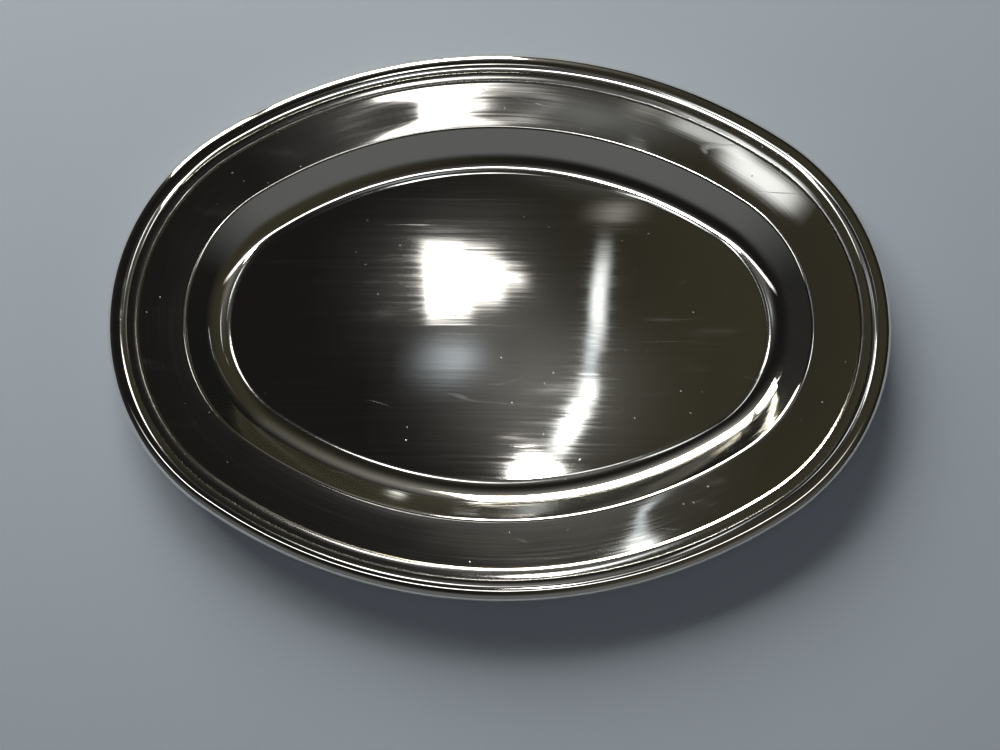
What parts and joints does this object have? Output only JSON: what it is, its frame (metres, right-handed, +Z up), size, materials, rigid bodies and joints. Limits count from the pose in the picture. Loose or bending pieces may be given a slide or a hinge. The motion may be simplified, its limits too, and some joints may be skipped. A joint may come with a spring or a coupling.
{
  "type": "oval serving platter",
  "caption": "Oval silver-plated serving platter with a plain wide rim, a reeded border and a turned-down wired edge.",
  "frame": {"origin": "middle of the underside of the floor, at the surface that the platter lies on", "axes": "+X along the length of the oval, +Y across it, +Z up out of the well"},
  "size_m": [0.36, 0.255, 0.0177],
  "materials": {
    "polished_plate": "mirror-polished silver plate with fine polishing lines",
    "border_silver": "polished silver with tarnish in the grooves",
    "wire_steel": "plain drawn wire"
  },
  "bodies": {
    "root": {"dish_body": "polished_plate", "edge_wire": "wire_steel", "reeded_border": "border_silver"}
  },
  "joints": []
}
